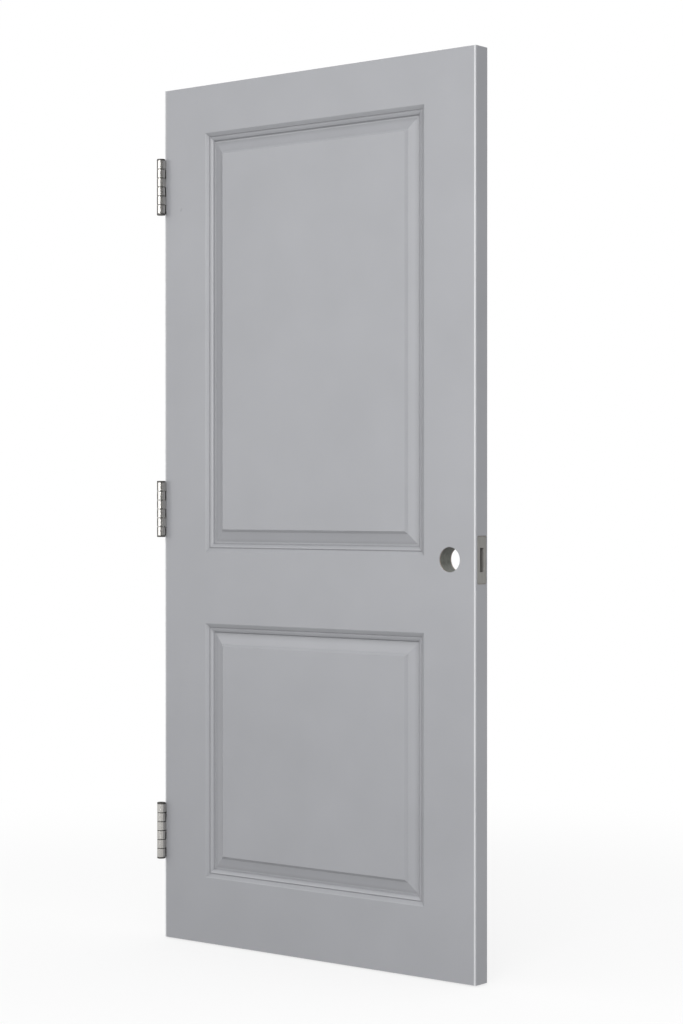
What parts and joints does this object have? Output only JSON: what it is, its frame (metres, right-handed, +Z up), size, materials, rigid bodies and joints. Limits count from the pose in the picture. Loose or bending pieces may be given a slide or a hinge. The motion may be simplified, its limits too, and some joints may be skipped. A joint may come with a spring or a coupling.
{
  "type": "hollow metal door",
  "caption": "Hollow metal door leaf with raised panels pressed in both faces, butt hinges, a cross bore for a lockset and a latch plate in the lock edge.",
  "frame": {"origin": "middle of the seat face of the bottom hinge's frame leaf, where it lies against the frame's jamb", "axes": "+X from the hinge edge to the lock edge, front (pull) face along -Y, +Z up"},
  "size_m": [0.9195, 0.0649, 2.01],
  "materials": {
    "door_paint": "satin light grey factory paint",
    "channel_steel": "satin grey primer",
    "core_board": "matte kraft honeycomb core",
    "primed_steel": "matte dark primer",
    "sleeve_steel": "matte dark grey-green primer",
    "plate_steel": "satin plain steel, slightly brown",
    "hinge_steel": "bright satin steel",
    "screw_steel": "satin steel"
  },
  "bodies": {
    "frame_leaves": {"top_hinge_frame_leaf": "hinge_steel", "top_hinge_bottom_tip": "hinge_steel", "middle_hinge_frame_leaf": "hinge_steel", "middle_hinge_bottom_tip": "hinge_steel", "bottom_hinge_frame_leaf": "hinge_steel", "bottom_hinge_bottom_tip": "hinge_steel"},
    "door": {"front_skin": "door_paint", "back_skin": "door_paint", "top_channel": "channel_steel", "bottom_channel": "channel_steel", "core": "core_board", "lock_reinforcement": "primed_steel", "bore_sleeve": "sleeve_steel", "latch_plate": "plate_steel", "top_hinge_door_leaf": "hinge_steel", "top_hinge_pin": "hinge_steel", "top_hinge_screws": "screw_steel", "top_hinge_reinforcement": "primed_steel", "middle_hinge_door_leaf": "hinge_steel", "middle_hinge_pin": "hinge_steel", "middle_hinge_screws": "screw_steel", "middle_hinge_reinforcement": "primed_steel", "bottom_hinge_door_leaf": "hinge_steel", "bottom_hinge_pin": "hinge_steel", "bottom_hinge_screws": "screw_steel", "bottom_hinge_reinforcement": "primed_steel"}
  },
  "joints": [
    {"name": "door_swing", "type": "hinge", "parent": "frame_leaves", "child": "door", "pos_m": [0.0064, -0.02965, 0], "axis": [0, 0, -1], "range_deg": [0, 180]}
  ]
}
